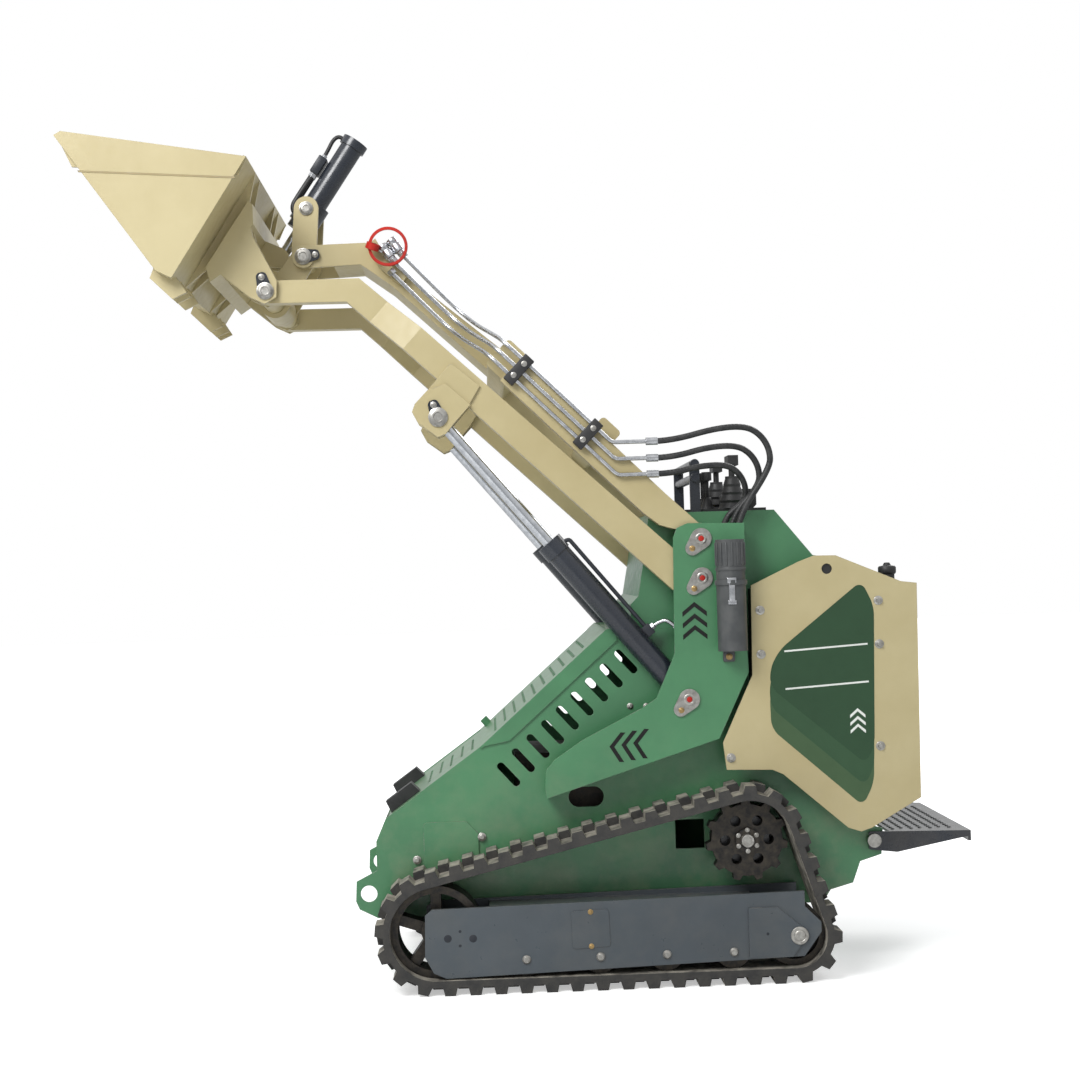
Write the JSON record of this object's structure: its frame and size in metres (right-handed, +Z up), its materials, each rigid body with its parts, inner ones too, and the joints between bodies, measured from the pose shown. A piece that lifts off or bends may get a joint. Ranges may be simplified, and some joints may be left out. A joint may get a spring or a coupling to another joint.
{
  "type": "compact track loader",
  "caption": "Stand-on compact track loader on rubber tracks, with a raised vertical-lift loader linkage, curled bucket, folding rear platform and control tower",
  "frame": {"origin": "on the ground, below the middle of the machine's overall box in the stored pose, arms raised", "axes": "X to the machine's rear, Y to its right side, Z up"},
  "size_m": [2.553, 1.06, 2.5384],
  "materials": {
    "green_paint": "satin",
    "tan_paint": "satin",
    "grey_frame": "satin",
    "dark_steel": "worn",
    "black_paint": "satin",
    "chrome_rod": "polished",
    "track_rubber": "matte",
    "hose_rubber": "matte",
    "pad_rubber": "matte",
    "black_plastic": "matte",
    "engine_iron": "matte"
  },
  "bodies": {
    "machine": {"hull_sides": "green_paint", "hull_floor": "green_paint", "hull_ends": "green_paint", "nose_panel": "green_paint", "bumpers": "pad_rubber", "hood": "green_paint", "engine": "engine_iron", "console": "green_paint", "control_deck": "black_plastic", "grab_bars": "black_paint", "knee_pad": "pad_rubber", "tower_left": "green_paint", "tower_right": "green_paint", "tower_pins": "dark_steel", "side_panels": "tan_paint", "side_tanks": "black_plastic", "canister": "black_plastic", "drive_motors": "black_paint", "sprockets": "black_paint", "track_left": "track_rubber", "track_right": "track_rubber", "track_frame_left": "grey_frame", "track_frame_right": "grey_frame", "track_rollers": "dark_steel", "front_idlers": "grey_frame", "rear_idlers": "grey_frame", "platform_pins": "dark_steel", "hose_upper": "hose_rubber", "hose_middle": "hose_rubber", "hose_lower": "hose_rubber"},
    "platform": {"platform": "black_paint"},
    "arms": {"arm_left": "tan_paint", "arm_right": "tan_paint", "torque_tube": "tan_paint"},
    "upper_link": {"link_members": "tan_paint", "link_front": "tan_paint", "link_cross": "tan_paint", "link_tubes": "chrome_rod", "coupler_block": "black_paint"},
    "lever": {"tilt_lever": "tan_paint"},
    "bucket": {"attach_plate": "tan_paint", "bucket": "tan_paint"},
    "tilt_barrel": {"tilt_barrel": "black_paint"},
    "tilt_rod": {"tilt_rod": "chrome_rod"},
    "lift_barrel_left": {"lift_barrel_left": "black_paint"},
    "lift_barrel_right": {"lift_barrel_right": "black_paint"},
    "lift_rod_left": {"lift_rod_left": "chrome_rod"},
    "lift_rod_right": {"lift_rod_right": "chrome_rod"}
  },
  "joints": [
    {"name": "arm_lift", "type": "hinge", "parent": "machine", "child": "arms", "pos_m": [0.5065, 0, 1.145], "axis": [0, 1, 0], "range_deg": [-75, 0]},
    {"name": "lever_turn", "type": "hinge", "parent": "arms", "child": "lever", "pos_m": [-0.7225, 0, 2.01], "axis": [0, 1, 0], "range_deg": [0, 55.7]},
    {"name": "bucket_tilt", "type": "hinge", "parent": "lever", "child": "bucket", "pos_m": [-0.7225, 0, 2.01], "axis": [0, 1, 0], "range_deg": [-95, 0]},
    {"name": "link_turn", "type": "hinge", "parent": "machine", "child": "upper_link", "pos_m": [0.5065, 0, 1.258], "axis": [0, 1, 0], "range_deg": [-77.6, 0]},
    {"name": "tilt_barrel_swing", "type": "hinge", "parent": "lever", "child": "tilt_barrel", "pos_m": [-0.6205, 0, 2.294], "axis": [0, 1, 0], "range_deg": [0, 7.1]},
    {"name": "tilt_rod_slide", "type": "slide", "parent": "tilt_barrel", "child": "tilt_rod", "axis": [-0.5603, 0, -0.8283], "range_m": [0, 0.2168]},
    {"name": "lift_barrel_swing_left", "type": "hinge", "parent": "machine", "child": "lift_barrel_left", "pos_m": [0.4585, -0.356, 0.799], "axis": [0, 1, 0], "range_deg": [-72.1, 0]},
    {"name": "lift_rod_slide_left", "type": "slide", "parent": "lift_barrel_left", "child": "lift_rod_left", "axis": [-0.6418, 0, 0.7669], "range_m": [-0.4232, 0]},
    {"name": "lift_barrel_swing_right", "type": "hinge", "parent": "machine", "child": "lift_barrel_right", "pos_m": [0.4585, 0.356, 0.799], "axis": [0, 1, 0], "range_deg": [-72.1, 0]},
    {"name": "lift_rod_slide_right", "type": "slide", "parent": "lift_barrel_right", "child": "lift_rod_right", "axis": [-0.6418, 0, 0.7669], "range_m": [-0.4232, 0]},
    {"name": "platform_fold", "type": "hinge", "parent": "machine", "child": "platform", "pos_m": [0.9925, 0, 0.366], "axis": [0, 1, 0], "range_deg": [-90, 0]}
  ],
  "couplings": [
    {"joint": "lever_turn", "follows": "arm_lift", "ratio": -0.7416},
    {"joint": "link_turn", "follows": "arm_lift", "ratio": 1.0331},
    {"joint": "tilt_barrel_swing", "follows": "bucket_tilt", "ratio": -0.073921},
    {"joint": "tilt_rod_slide", "follows": "bucket_tilt", "m_per_rad": -0.13062},
    {"joint": "lift_barrel_swing_left", "follows": "arm_lift", "ratio": 0.95967},
    {"joint": "lift_rod_slide_left", "follows": "arm_lift", "m_per_rad": 0.32312},
    {"joint": "lift_barrel_swing_right", "follows": "arm_lift", "ratio": 0.95967},
    {"joint": "lift_rod_slide_right", "follows": "arm_lift", "m_per_rad": 0.32312}
  ]
}
